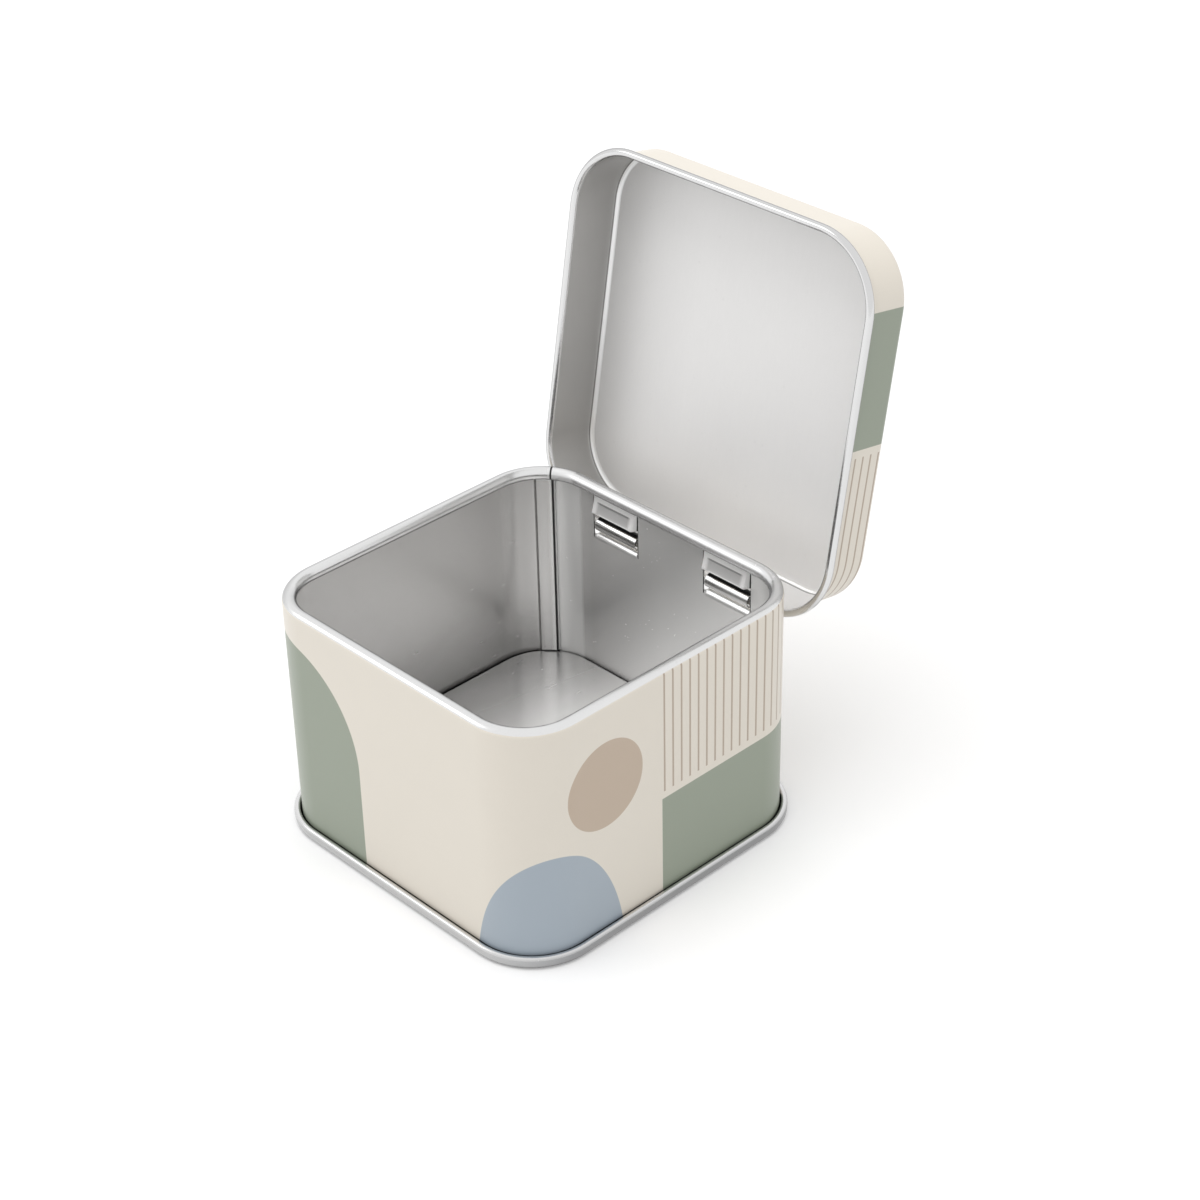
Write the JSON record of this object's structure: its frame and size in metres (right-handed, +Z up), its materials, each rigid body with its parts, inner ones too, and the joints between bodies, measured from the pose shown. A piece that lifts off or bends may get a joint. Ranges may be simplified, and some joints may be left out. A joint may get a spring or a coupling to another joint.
{
  "type": "hinged tin box",
  "caption": "Square tinplate keepsake box with rounded corners, a rolled rim and a slip-over lid hinged along the back, shown standing open.",
  "frame": {"origin": "middle of the bottom end's flat underside, 6.5 mm above the surface that the box stands on", "axes": "+Z up, +Y towards the hinged back, +X to the right of someone who faces the box from the front"},
  "size_m": [0.0736, 0.0953, 0.1102],
  "materials": {
    "printed_wall": "satin cream print outside, bright tinplate inside",
    "bare_tinplate": "bright bare tinplate",
    "printed_lid": "satin cream print outside, bright tinplate inside"
  },
  "bodies": {
    "box": {"body_wall": "printed_wall", "bottom_end": "bare_tinplate"},
    "lid": {"lid": "printed_lid"}
  },
  "joints": [
    {"name": "lid_hinge", "type": "hinge", "parent": "box", "child": "lid", "pos_m": [0, 0.0359, 0.0321], "axis": [1, 0, 0], "range_deg": [0, 100]}
  ]
}
